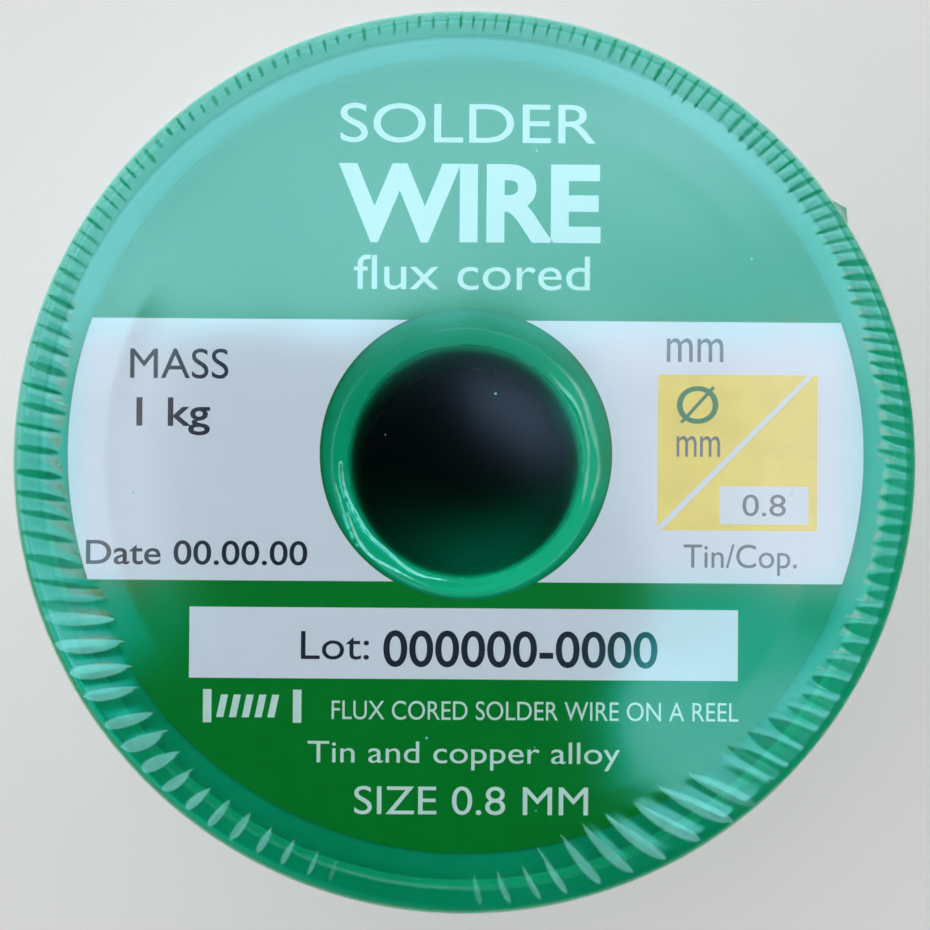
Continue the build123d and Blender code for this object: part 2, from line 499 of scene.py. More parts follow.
def make_label_print():
    """The printed areas and the generic lettering."""
    white = print_material("label_white", (0.76, 0.8, 0.92), 0.02)
    yellow = print_material("label_yellow", (0.96, 0.75, 0.13), 0.08)
    letter_white = print_material("ink_white", (0.62, 0.82, 0.78), 0.03)
    dark = print_material("ink_dark", (0.018, 0.022, 0.04), 0.2)
    grey = print_material("ink_grey", (0.13, 0.15, 0.2), 0.1)
    green = print_material("ink_green", (0.01, 0.2, 0.06), 0.1)

    right_band = band_outline()
    left_band = [(-x, y) for x, y in reversed(right_band)]
    print_plate("label_band_right", right_band, 1, white)
    print_plate("label_band_left", left_band, 1, white)
    print_plate("label_lot_box", box_outline(-29.1, 28.9, -23.8, -16.3), 1, white)

    # Painted shadow line: a thin ring of green ink round the label's hole, for the dark line where the hole's
    # edge is in shade.
    for index, start in enumerate((0, math.pi)):
        cut = arc(LABEL_HOLE_RADIUS + 0.14, start, start + math.pi, 61)
        cut += arc(LABEL_HOLE_RADIUS + 0.01, start + math.pi, start, 61)
        print_plate(f"label_hole_painted_shade_{index + 1}", cut, 2, green)

    left, right, bottom, top = 20.3, 37.2, -7.9, 8.6
    print_plate("label_size_square", box_outline(left, right, bottom, top), 2, yellow)
    half = 0.22
    diagonal = [
        (left, bottom),
        (left + half * 2, bottom),
        (right - 0.6, top - half),
        (right - 0.6, top),
        (right - 0.6 - half * 2, top),
        (left, bottom + half * 2),
    ]
    print_plate("label_size_line", diagonal, 3, white)
    print_plate("label_size_box", box_outline(26.9, 36.3, -7.2, -3.2), 3, white)

    lines = [
        ("SOLDER", (0.0, 35.1), 4.2, 27.1, letter_white),
        ("WIRE", (0.2, 26.6), 8.4, 27.8, letter_white, 0.035),
        ("flux cored", (0.5, 19.25), 3.7, 25.0, letter_white),
        ("FLUX CORED SOLDER WIRE ON A REEL", (7.5, -27.1), 2.0, 43.0, letter_white),
        ("Tin and copper alloy", (0.0, -31.9), 3.0, 33.0, letter_white),
        ("SIZE 0.8 MM", (0.8, -36.6), 3.0, 24.7, letter_white),
        ("MASS", (-30.4, 9.4), 3.2, 10.4, dark),
        ("1 kg", (-31.0, 3.8), 4.0, 7.8, dark, 0.012),
        ("Date 00.00.00", (-28.4, -10.6), 2.6, 23.4, dark, 0.008),
        ("mm", (24.2, 11.2), 2.5, 6.0, grey),
        ("Tin/Cop.", (29.1, -11.0), 3.3, 12.0, grey),
        ("Lot:", (-13.7, -20.3), 3.0, 7.2, dark),
        ("000000-0000", (5.9, -20.6), 3.9, 29.0, dark, 0.012),
    ]
    for index, (words, centre, height, width, ink, *weight) in enumerate(lines):
        text_plate(f"label_text_{index + 1:02d}", words, centre, height, width, 2, ink, *weight)
    text_plate("label_size_sign", "Ø", (24.5, 5.4), 4.0, 4.4, 3, green)
    text_plate("label_size_unit", "mm", (24.6, 1.0), 2.2, 4.6, 3, grey)
    text_plate("label_size_value", "0.8", (31.6, -5.2), 2.3, 4.6, 4, grey)
    spool_symbol(letter_white)


# ---------------- wound wire and tape


UPWARD = np.array([0.0, 0.0, 1.0])


def tube(middles, across, radius, sides):
    """Points and faces of a closed tube whose section at each middle lies along across and upward."""
    turn = np.arange(sides)[:, None] * 2 * math.pi / sides
    section = np.cos(turn) * across[:, None] + np.sin(turn) * UPWARD
    points = (middles[:, None] + radius * section).reshape(-1, 3)
    last = len(points) - sides
    faces = []
    for start in range(0, last, sides):
        faces += ring_faces(start, start + sides, sides)
    faces.append(tuple(range(sides - 1, -1, -1)))
    faces.append(tuple(range(last, last + sides)))
    return points, faces


def make_winding():
    """The wound wire: the layer that shows, turn by turn, over a sleeve for the layers under it."""
    material = solder_material()
    radius = WIRE_DIAMETER / 2
    first = winding_low[2] + radius
    last = winding_high[2] - radius
    step_level = wire_low[2] - CLEARANCE
    step_half = 0.4
    unevenness = 0.04
    looseness = 0.03
    turns = (last - first) / WIRE_PITCH
    segments = 96
    count = int(turns * segments)
    angle = np.arange(count) * 2 * math.pi / segments
    level = first + WIRE_PITCH * angle / (2 * math.pi)
    level = level + unevenness * np.sin(angle * 0.37) * np.sin(angle * 0.113 + 1.0)
    level = np.clip(level, first, last)
    outer = WOUND_RADIUS - radius
    reach = outer - NESTED_DROP * smoothstep(step_level - step_half, step_level + step_half, level)
    reach = reach - looseness * (1 + np.sin(angle * 0.61)) / 2
    across = np.stack([np.cos(angle), np.sin(angle), np.zeros(count)], 1)
    middles = across * reach[:, None] + UPWARD * level[:, None]
    points, faces = tube(middles, across, radius, sides=8)
    turns_piece = mesh_piece("solder_turns", points, faces, material, "solder")
    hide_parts("solder_winding")

    sleeve_outer = outer - NESTED_DROP
    sleeve_inner = node_box("core_barrel")[1][0] + CLEARANCE
    columns = 120
    corners = box_outline(sleeve_inner, sleeve_outer, winding_low[2], winding_high[2])
    turn = np.arange(columns) * 2 * math.pi / columns
    points = [(r * math.cos(a), r * math.sin(a), z) for r, z in corners for a in turn]
    faces = []
    for i in range(len(corners)):
        j = (i + 1) % len(corners)
        faces += ring_faces(i * columns, j * columns, columns)
    mesh_piece("solder_under_layers", points, faces, material, "solder", smooth=False)


def make_tape():
    """The tape over the wire's end: pressed down on the turns, lifted by the end, saw-cut at both sides."""
    low_angle, high_angle = [math.radians(a) for a in TAPE_ANGLES]
    columns, rows = 104, 57
    thickness = 0.12
    base = WOUND_RADIUS + 0.03
    groove_depth, step_depth, tooth, ripple, lift = 0.07, 0.42, 0.3, 0.02, 0.17
    bottom, top = tape_low[2], tape_high[2]
    wire_level = (wire_low[2] + wire_high[2]) / 2
    lift_start = WIRE_END_ANGLE - 1.6
    outer_points, inner_points = [], []
    for i in range(rows):
        z = bottom + (top - bottom) * i / (rows - 1)
        groove = groove_depth * (1 - math.cos(2 * math.pi * (z - winding_low[2]) / WIRE_PITCH)) / 2
        step = step_depth * float(smoothstep(wire_high[2] - 0.2, wire_high[2] + 0.9, z))
        for j in range(columns):
            t = j / (columns - 1)
            saw = tooth * abs((i * 0.5) % 1 - 0.5) / WOUND_RADIUS
            a = low_angle + saw + (high_angle - low_angle - 2 * saw) * t
            r = base - groove - step + ripple * math.sin(63 * a + z)
            past_end = float(smoothstep(lift_start, WIRE_END_ANGLE, math.degrees(a)))
            r += (lift + step * 0.5) * float(bell(z, wire_level, 0.55)) * past_end
            outer_points.append(((r + thickness) * math.cos(a), (r + thickness) * math.sin(a), z))
            inner_points.append((r * math.cos(a), r * math.sin(a), z))
    count = rows * columns
    faces = []
    for a, b, c, d in grid_faces(rows, columns):
        faces.append((a, b, c, d))
        faces.append((count + a, count + d, count + c, count + b))
    rim = list(range(columns))
    rim += [i * columns + columns - 1 for i in range(1, rows)]
    rim += [(rows - 1) * columns + j for j in range(columns - 2, -1, -1)]
    rim += [i * columns for i in range(rows - 2, 0, -1)]
    for k, a in enumerate(rim):
        b = rim[(k + 1) % len(rim)]
        faces.append((a, count + a, count + b, b))
    piece = mesh_piece("masking_tape", outer_points + inner_points, faces, tape_material(), "tape")
    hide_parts("end_tape")


# ---------------- shrink film

FILM_SKIN = 0.05
FILM_STANDOFF = 0.12
FACE_COLUMNS = 360
RIM_RATIO = 8
RIM_COLUMNS = FACE_COLUMNS * RIM_RATIO
FACE_EDGE = 38.0
MOUTH_RADIUS = 32.0
REAR_DIP = 0.45
REAR_GATHERS = 61
SIDE_PULL = 0.75
ON_SIDE = FLANGE_RADIUS + FILM_STANDOFF - 0.02

# Pleats round the rim: how they change with the angle, in degrees from +X towards +Y. Pitch is in degrees,
# distances from the axis and relief in millimetres, and widths in parts of the pitch. A tick is a pleat's
# dark mark, painted shade in the fold; a streak is a painted highlight along the pale film between two ticks;
# and the ground is milkiness and painted sky reflection round them.
PLEAT_PITCH = [(-180, 2.9), (-165, 3.3), (-150, 4.0), (-135, 3.7), (-108, 3.3), (-88, 3.7), (-72, 4.2),
               (-60, 5.0), (-52, 4.2), (-46, 3.0), (-20, 2.3), (0, 1.9), (45, 1.8), (90, 1.75),
               (150, 1.8), (165, 2.3)]
PLEAT_INNER = [(-180, 42.4), (-165, 41.5), (-158, 40.4), (-151, 41.3), (-138, 43.0), (-125, 43.8),
               (-108, 44.0), (-88, 43.4), (-80, 43.2), (-75, 41.2), (-65, 40.0), (-53, 39.8), (-48, 41.0),
               (-40, 41.7), (-30, 43.3), (-15, 44.1), (0, 43.9), (20, 44.2), (45, 44.5), (60, 44.6),
               (75, 45.5), (100, 46.0), (138, 45.7), (147, 45.0), (157, 44.7), (165, 43.1)]
PLEAT_OUTER = [(-180, 47.3), (-150, 47.2), (-125, 46.9), (-111, 46.5), (-80, 46.7), (-60, 46.9), (-50, 47.4),
               (-45, 48.3), (20, 48.3), (40, 47.6), (60, 47.4), (90, 47.2), (125, 47.1),
               (147, 47.6)]
PLEAT_SLANT = [(-180, 0.15), (-172, 0.4), (-165, 0.6), (-145, 0.54), (-137, 0.45), (-125, 0.1), (-95, 0.0),
               (-85, -0.4), (-62, -0.8), (-54, -0.65), (-42, -0.3), (-10, -0.15), (0, 0.3), (10, 0.5),
               (25, 0.55), (35, 0.3), (45, 0.1)]
PLEAT_CLUB = [(-180, 0.3), (-60, 0.3), (-50, 1.0), (-5, 1.0), (10, 0.3), (30, 0.0), (170, 0.0)]
PLEAT_DARK = [(-180, 1.0), (-162, 1.0), (-157, 0.0), (-52, 0.0), (-47, 1.0)]
PLEAT_LIGHT = [(-162, 0.0), (-156, 0.95), (-112, 0.85), (-106, 0.0), (-92, 0.0), (-86, 0.6), (-70, 0.85),
               (-54, 0.9), (-46, 0.0)]
PLEAT_GROUND = [(-180, 0.3), (-163, 0.3), (-155, 0.04), (-150, 0.0), (-54, 0.0), (-47, 0.12), (-20, 0.18),
                (0, 0.26), (45, 0.34), (150, 0.34)]
PLEAT_DULL = [(-180, 0.3), (-150, 0.0), (-46, 0.0), (-20, 0.25), (20, 0.4), (60, 0.5), (145, 0.5)]
PLEAT_RELIEF = [(-180, 0.03), (-150, 0.025), (-110, 0.02), (-104, 0.0), (-92, 0.0), (-80, 0.02),
                (-55, 0.025), (-20, 0.03), (0, 0.025), (45, 0.02), (170, 0.02)]
TICK_WIDTH = [(-180, 0.17), (-165, 0.21), (-46, 0.33), (-15, 0.36), (5, 0.31), (20, 0.24), (50, 0.19),
              (75, 0.14), (100, 0.13), (140, 0.15), (165, 0.19)]
STREAK_WIDTH = [(-180, 0.2), (-150, 0.3), (-138, 0.28), (-125, 0.19), (-111, 0.12), (-80, 0.15),
                (-65, 0.2), (-52, 0.24), (0, 0.1)]
RING_START = [(-180, 47.7), (-165, 47.3), (-150, 47.2), (0, 47.1), (20, 47.4), (35, 47.9), (45, 48.6),
              (150, 48.6)]
# Painted line along the rim's inner edge: a highlight where the value is above 0 and shade where it is below.
RIM_LINE = [(-180, -0.3), (-150, 0.0), (-115, 0.1), (-105, 0.3), (-92, 0.3), (-84, 0.0), (-40, 0.0),
            (0, -0.2), (45, -0.3)]

# Where the parts of the pleats come and go: distances from the axis in millimetres, GROUND_ENDS from
# RING_START, and soft edges in parts of the pitch.
GROUND_STARTS = (41.0, 44.0)
GROUND_ENDS = (-0.5, 0.2)
GROUND_GROWS = (46.6, 47.3)
GROUND_GROWTH = 0.9
DULL_STARTS = (44.5, 45.3)
TICK_SOFT = (-0.03, 0.04)
STREAK_SOFT = (-0.03, 0.06)
RIM_LINE_WIDTH = 0.14

# The corner of the film's seam, which stands out from the rim.
EAR_ANGLE = 33.6
EAR_WIDTH = 4.4
EAR_REACH = 1.05
EAR_PLACE = 48.6
EAR_DEPTH = 1.3


def pleat_cells():
    """Angles between neighbouring pleats, once round, with a little unevenness."""
    edges = [-180.0]
    while edges[-1] < 180.0:
        edges.append(edges[-1] + by_angle(PLEAT_PITCH, edges[-1]) * rng.uniform(0.82, 1.18))
    edges = np.array(edges)
    return -180.0 + (edges + 180.0) * 360.0 / (edges[-1] + 180.0)


def pleats(rho, degrees):
    """Relief, milkiness with painted sky reflection, painted highlights and painted shade, and lack of gloss
    of the front rim's pleats, for arrays of distance and angle.
    """
    edges = pleat_cells()
    count = len(edges) - 1
    middle = (edges[:-1] + edges[1:]) / 2
    inner = by_angle(PLEAT_INNER, middle) + rng.normal(0, 0.2, count)
    outer = by_angle(PLEAT_OUTER, middle) + rng.normal(0, 0.12, count)
    strength = rng.uniform(0.8, 1.0, count)
    width = rng.uniform(0.75, 1.25, count)
    bright = rng.uniform(0.7, 1.0, count)

    lean = by_angle(PLEAT_SLANT, degrees)
    slanted = (degrees - lean * (46.0 - rho) + 180.0) % 360.0 - 180.0
    phase = np.interp(slanted, edges, np.arange(count + 1))
    cell = np.minimum(phase.astype(int), count - 1)
    u = phase - cell - 0.5
    v = (rho - inner[cell]) / (outer[cell] - inner[cell])
    inside = (v > 0) & (v < 1)
    lens = np.sqrt(np.clip(1 - (2 * v - 1) ** 2, 0, 1))
    finger = np.clip(1 - (1 - v) ** 4, 0, 1)
    club = by_angle(PLEAT_CLUB, degrees)
    profile = ((1 - club) * lens + club * finger) * width[cell]

    tick_edge = by_angle(TICK_WIDTH, degrees) * profile
    # Painted shade: the dark tick in each fold.
    tick = smoothstep(*TICK_SOFT, tick_edge - np.abs(u)) * inside * strength[cell]
    side = 0.5 - np.abs(u)
    streak_edge = by_angle(STREAK_WIDTH, degrees) * lens * (0.7 + 0.45 * v) * width[cell]
    # Painted highlight along the pale film between two ticks.
    streak = smoothstep(*STREAK_SOFT, streak_edge - side) * inside * bright[cell]
    past_ring = rho - by_angle(RING_START, degrees)
    # Milkiness and painted sky reflection round the ticks.
    ground = by_angle(PLEAT_GROUND, degrees)
    ground = ground * smoothstep(*GROUND_STARTS, rho) * (1 - smoothstep(*GROUND_ENDS, past_ring))
    ground = ground * (1 + GROUND_GROWTH * smoothstep(*GROUND_GROWS, rho))
    dark = by_angle(PLEAT_DARK, degrees) * tick
    dull = by_angle(PLEAT_DULL, degrees) * smoothstep(*DULL_STARTS, rho)
    haze_and_sheen = ground * (1 - dark) + by_angle(PLEAT_LIGHT, degrees) * streak
    # The painted highlight and shade along the rim's inner edge.
    haze_and_sheen += by_angle(RIM_LINE, degrees) * bell(rho, RIM_INNER_RADIUS, RIM_LINE_WIDTH)
    fold = (1 - np.cos(2 * np.pi * u)) / 2
    relief = by_angle(PLEAT_RELIEF, degrees) * fold * lens ** 1.5 * strength[cell]
    return relief, np.clip(haze_and_sheen, 0, 1), np.maximum(dark, dull)


def film_path():
    """Half section of the film from FACE_EDGE on the front, round the side, to the mouth on the rear: even
    steps along it, and the radius and level at each."""
    rear = REEL_BOTTOM - FILM_STANDOFF
    centre = FLANGE_RADIUS - EDGE_ROUND
    round_radius = EDGE_ROUND + FILM_STANDOFF
    top_round = REEL_TOP - EDGE_ROUND
    low_round = REEL_BOTTOM + EDGE_ROUND
    corner = np.linspace(0, math.pi / 2, 30)
    path = [(FACE_EDGE, REEL_TOP + FILM_STANDOFF)]
    path += [(centre + round_radius * math.sin(a), top_round + round_radius * math.cos(a)) for a in corner]
    path += [(centre + round_radius * math.cos(a), low_round - round_radius * math.sin(a)) for a in corner]
    path += [(RIM_INNER_RADIUS, rear), (MOUTH_RADIUS, rear + REAR_DIP)]
    path = np.array(path)
    lengths = np.concatenate([[0], np.cumsum(np.hypot(*np.diff(path, axis=0).T))])
    step = 0.05
    even = np.arange(0, lengths[-1], step)
    fine = np.stack([np.interp(even, lengths, path[:, 0]), np.interp(even, lengths, path[:, 1])], 1)
    reach = 7
    kernel = np.hanning(2 * reach + 3)[1:-1]
    kernel /= kernel.sum()
    padded = np.concatenate([np.repeat(fine[:1], reach, 0), fine, np.repeat(fine[-1:], reach, 0)])
    soft = np.stack([np.convolve(padded[:, k], kernel, "valid") for k in range(2)], 1)
    soft[:reach] = fine[:reach]
    soft[-reach:] = fine[-reach:]
    return even, soft


def film_rows():
    """The film's rows of points, close together over the pleats: place along the path, radius, level and the
    unit normal's two parts at each."""
    even, path = film_path()
    side = np.argmax(path[:, 0] > ON_SIDE)
    rear_side = len(path) - 1 - np.argmax(path[::-1, 0] > ON_SIDE)
    rear_fine = 6.0
    rows = list(np.arange(0, even[side], 0.16))
    rows += list(np.linspace(even[side], even[rear_side], 14))[:-1]
    rows += list(np.arange(even[rear_side], even[rear_side] + rear_fine, 0.4))
    rows += list(np.linspace(even[rear_side] + rear_fine, even[-1], 13))
    rows = np.array(rows)
    radius_at = np.interp(rows, even, path[:, 0])
    level_at = np.interp(rows, even, path[:, 1])
    normal_r = -np.interp(rows, even, np.gradient(path[:, 1], even))
    normal_z = np.interp(rows, even, np.gradient(path[:, 0], even))
    size = np.hypot(normal_r, normal_z)
    return rows, radius_at, level_at, normal_r / size, normal_z / size


# The two creases over the bore's lip: distance from the axis, how far and how fast it wanders, where that
# noise is read, width, and height at the lower left and at the right.
CREASES = (
    (12.9, 0.5, 0.05, (2.2, 1.7), 0.2, 0.19, 0.05),
    (13.9, 0.7, 0.04, (7.2, 4.1), 0.26, 0.08, 0.03),
)


def face_offset(x, y):
    """How far the front film stands off its plane: broad waves, and creases over the bore's lip."""
    reach = math.hypot(x, y)
    low_wave = noise.noise(Vector((x * 0.06, y * 0.06, 3.1)))
    fine_wave = noise.noise(Vector((x * 0.17, y * 0.17, 8.4)))
    offset = 0.02 * low_wave + 0.006 * fine_wave - 0.02
    angle = math.degrees(math.atan2(y, x))
    lower_left = bell(angle, -138, 30)
    right = 0.5 * bell(angle, 22, 16) + 0.4 * bell(angle, -12, 8)
    uneven = 0.5 + abs(noise.noise(Vector((angle * 0.21, reach * 0.4, 6.1))))
    for place, wander, pace, seed, width, left_height, right_height in CREASES:
        line = place + wander * noise.noise(Vector((angle * pace, *seed)))
        height = left_height * lower_left + right_height * right
        offset += uneven * height * bell(reach, line, width)
    return float(offset)


def lip_highlight(reach, angle):
    """A painted highlight: a thin bright line in the front film where it rests on the bore's lip, for the
    light on the lip's rounded edge.
    """
    strength = 0.22 + 0.1 * math.sin(2 * angle + 1.0) + 0.08 * math.sin(5 * angle)
    return strength * float(bell(reach, 14.05, 0.09))


def face_skin():
    """The front film inside FACE_EDGE: rings of (x, y, offset) from the middle outwards, and the painted
    highlight over the bore's lip at each point.
    """
    radii = np.concatenate([
        np.linspace(1.0, 11.4, 9),
        np.linspace(11.6, 15.4, 39),
        np.linspace(16.2, FACE_EDGE - 0.6, 15),
    ])
    rings, haze_and_sheen = [], []
    for r in radii:
        ring = []
        for a in np.arange(FACE_COLUMNS) * 2 * math.pi / FACE_COLUMNS:
            x, y = r * math.cos(a), r * math.sin(a)
            ring.append((x, y, face_offset(x, y) * min(1.0, (FACE_EDGE - r) / 2)))
            haze_and_sheen.append(lip_highlight(r, a))
        rings.append(ring)
    return rings, haze_and_sheen


def side_pull(radius_at, level_at, theta):
    """How far the side stands off its path: pulled in between the flanges, with upright tension lines."""
    middle = (REEL_TOP + REEL_BOTTOM) / 2
    half = (REEL_TOP - REEL_BOTTOM) / 2 - EDGE_ROUND
    on_side = np.clip(1 - ((level_at - middle) / half) ** 2, 0, 1) * (radius_at > FLANGE_RADIUS - 0.5)
    waves = ((23, 0.05, 0.4), (41, 0.04, 2.0), (67, 0.025, 4.0))
    lines = sum(size * np.sin(count * theta + phase) for count, size, phase in waves)
    return -SIDE_PULL * on_side[:, None] ** 0.8 + on_side[:, None] * lines[None]


def rear_gathers(rear, near_mouth, radius_at, theta):
    """Relief and milkiness of the rear, which the photo doesn't show: coarse pleats that end at the mouth."""
    wander = 0.05 * np.sin(3 * theta) + 0.03 * np.sin(7 * theta + 1.0)
    wave = (1 + np.sin(REAR_GATHERS * (theta + wander))) / 2
    from_rim = RIM_INNER_RADIUS - radius_at
    height = rear * np.clip(from_rim / 1.5, 0, 1) * REAR_DIP * from_rim / (RIM_INNER_RADIUS - MOUTH_RADIUS)
    haze_and_sheen = rear * (0.18 + 0.3 * near_mouth) * smoothstep(MOUTH_RADIUS - 3, 46, 90 - radius_at)
    return height[:, None] * wave[None] ** 2, haze_and_sheen[:, None] * (0.25 + 0.75 * wave[None] ** 3)


def seam_ear(rho, degrees):
    """The corner of the film's seam that stands out from the rim: how far, and how folded the film is."""
    ear = np.clip(1 - np.abs(degrees - EAR_ANGLE) / (EAR_WIDTH / 2), 0, 1) ** 1.4
    near_top = bell(rho, EAR_PLACE, EAR_DEPTH)[:, None]
    return EAR_REACH * near_top * ear[None], near_top * np.minimum(1.0, ear * 4)[None]


def skin_faces(start, rings, count):
    """Faces of a skin from its rings of points, which lie one after the other from start."""
    faces = []
    for ring in range(start, start + (rings - 1) * count, count):
        faces += ring_faces(ring + count, ring, count)
    return faces


def make_film():
    """The clear film, closed over the front and gathered on the rear round an open mouth. It is one closed
    solid: the outer skin from the front's middle to the mouth, then the inner skin back again."""
    rows, radius_at, level_at, normal_r, normal_z = film_rows()
    degrees = np.arange(RIM_COLUMNS) * 360.0 / RIM_COLUMNS
    degrees = (degrees + 180.0) % 360.0 - 180.0
    theta = np.radians(degrees)

    # Distance from the axis on the front, going on past the edge and down the side.
    side_row = int(np.argmax(radius_at > ON_SIDE))
    rho = radius_at.copy()
    rho[side_row:] = radius_at[side_row] + (rows[side_row:] - rows[side_row])
    grid_rho = np.repeat(rho[:, None], RIM_COLUMNS, 1)
    grid_degrees = np.repeat(degrees[None], len(rows), 0)
    relief, haze_and_sheen, matt = pleats(grid_rho, grid_degrees)

    below_middle = level_at < (REEL_TOP + REEL_BOTTOM) / 2
    rear = below_middle & (radius_at < FLANGE_RADIUS)
    near_mouth = 1 - smoothstep(MOUTH_RADIUS, MOUTH_RADIUS + 6, radius_at)
    pull = side_pull(radius_at, level_at, theta)
    rear_relief, rear_haze = rear_gathers(rear, near_mouth, radius_at, theta)
    ear_out, fold = seam_ear(rho, degrees)
    front_side = ~rear[:, None]
    relief = relief * front_side + rear_relief
    matt = matt * front_side
    haze_and_sheen = np.maximum(haze_and_sheen * front_side + rear_haze, 1.3 * fold)

    mouth_wave = 1.1 * np.sin(5 * theta + 0.6) + 0.7 * np.sin(11 * theta) + 0.5 * np.sin(REAR_GATHERS * theta)
    mouth_pull = (near_mouth * below_middle) ** 2
    out = relief + pull
    grid_r = radius_at[:, None] + normal_r[:, None] * out + ear_out
    grid_r = grid_r + mouth_pull[:, None] * mouth_wave[None]
    grid_z = level_at[:, None] + normal_z[:, None] * out

    face_rings, milky_and_sheen = face_skin()
    front = REEL_TOP + FILM_STANDOFF
    middle_offset = face_offset(0.0, 0.0)
    points = [(0.0, 0.0, front + middle_offset)]
    points += [(x, y, front + offset) for ring in face_rings for x, y, offset in ring]
    milky_and_sheen = [0.0] + milky_and_sheen
    faces = [(0, 1 + i, 1 + (i + 1) % FACE_COLUMNS) for i in range(FACE_COLUMNS)]
    faces += skin_faces(1, len(face_rings), FACE_COLUMNS)
    start = len(points)
    faces += [f[::-1] for f in fan_faces(start - FACE_COLUMNS, start, FACE_COLUMNS, RIM_RATIO)]
    x, y = grid_r * np.cos(theta), grid_r * np.sin(theta)
    points += np.stack([x, y, grid_z], 2).reshape(-1, 3).tolist()
    matts = [0.0] * start + matt.reshape(-1).tolist()
    folds = [0.0] * start + np.minimum(1, 1.5 * fold).reshape(-1).tolist()
    milky_and_sheen += haze_and_sheen.reshape(-1).tolist()
    faces += skin_faces(start, len(rows), RIM_COLUMNS)

    # The inner skin is smooth and matt, and is joined to the outer one at the mouth.
    outer_count = len(points)
    inner_rows = list(range(len(rows) - 1, 0, -3))
    for i in inner_rows:
        for k in range(0, RIM_COLUMNS, RIM_RATIO):
            inward = min(0.0, pull[i, k])
            r = radius_at[i] + normal_r[i] * (inward - FILM_SKIN)
            r += mouth_pull[i] * mouth_wave[k]
            z = level_at[i] + normal_z[i] * (inward - FILM_SKIN)
            points.append((r * math.cos(theta[k]), r * math.sin(theta[k]), z))
    faces += fan_faces(outer_count, outer_count - RIM_COLUMNS, FACE_COLUMNS, RIM_RATIO)
    faces += skin_faces(outer_count, len(inner_rows) + len(face_rings), FACE_COLUMNS)
    points += [(x, y, front - FILM_SKIN + offset) for ring in face_rings[::-1] for x, y, offset in ring]
    centre = len(points)
    last = centre - FACE_COLUMNS
    points.append((0.0, 0.0, front - FILM_SKIN + middle_offset))
    faces += [(centre, last + (i + 1) % FACE_COLUMNS, last + i) for i in range(FACE_COLUMNS)]
    inner_count = len(points) - outer_count
    # The first value is milkiness with painted sky reflection and painted highlights; matt and fold follow.
    values = {
        "haze_and_sheen": milky_and_sheen + [0.0] * inner_count,
        "matt": matts + [1.0] * inner_count,
        "fold": folds + [0.0] * inner_count,
    }
    piece = mesh_piece("pleated_film", points, faces, film_material(), "film", values=values)
    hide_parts("shrink_film")


# ---------------- studio


def make_floor():
    """A plain pale floor with painted shade: a dark disc under the middle of the reel, so that nothing shows
    at the bore's far end.
    """
    half = 3000.0
    level = -0.05
    m = Material("floor")
    tone_and_shade = m.blend(m.span(m.noise(6.0, 2.0), 0.3, 0.7), (0.93, 0.885, 0.86), (0.95, 0.905, 0.88))
    # Painted shade: a dark disc on the floor under the middle of the reel, below the bore's far end.
    tone_and_shade = m.blend(m.span(m.from_axis(), 0.02, 0.03), (0.02, 0.022, 0.025), tone_and_shade)
    shader = m.node("BsdfPrincipled", {"Base Color": tone_and_shade, "Roughness": 0.85})
    shader.inputs["Specular IOR Level"].default_value = 0.0
    corners = [(x, y, level) for x, y in box_outline(-half, half, -half, half)]
    floor = mesh_piece("floor", corners, [(0, 1, 2, 3)], m.finish(shader.outputs[0]))


def only_in_gloss(light):
    """The light shows in glossy surfaces alone: it is in no picture by itself and lights no matt surface."""
    light.visible_camera = False
    light.visible_diffuse = False
    light.visible_transmission = False
    light.visible_shadow = False


CAMERA_DISTANCE = 240.0
CAMERA_TILT = math.radians(0.8)
CAMERA_AIM = (0.0, -0.4, 50.3)
PIXELS_PER_MM = 9.48
PICTURE_WIDTH = 930
CAMERA_SIDE = 1.0
CAMERA_PLACE = (
    CAMERA_AIM[0] - CAMERA_SIDE,
    CAMERA_AIM[1] - CAMERA_DISTANCE * math.sin(CAMERA_TILT),
    CAMERA_AIM[2] + CAMERA_DISTANCE * math.cos(CAMERA_TILT),
)


def make_camera():
    """The camera, nearly straight above the label."""
    data = bpy.data.cameras.new("camera")
    data.sensor_width = 36.0
    data.lens = CAMERA_DISTANCE * PIXELS_PER_MM * data.sensor_width / PICTURE_WIDTH
    data.clip_start = 0.01
    data.clip_end = 20.0
    camera = bpy.data.objects.new("camera", data)
    bpy.context.collection.objects.link(camera)
    camera.location = Vector(CAMERA_PLACE) * MM
    back = (Vector(CAMERA_PLACE) - Vector(CAMERA_AIM)).normalized()
    across = Vector((0, 1, 0)).cross(back).normalized()
    camera.rotation_mode = "QUATERNION"
    camera.rotation_quaternion = Matrix((across, back.cross(across), back)).transposed().to_quaternion()
    bpy.context.scene.camera = camera


def tinted(strength):
    """The daylight's colour for each strength: a strong light is pale and a weak one has no red in it."""
    red = np.maximum(0.6 * strength - 1.8, 0)
    green = 0.75 * strength + 0.64 * np.minimum(strength, 1)
    return np.stack([red, green, strength], -1)


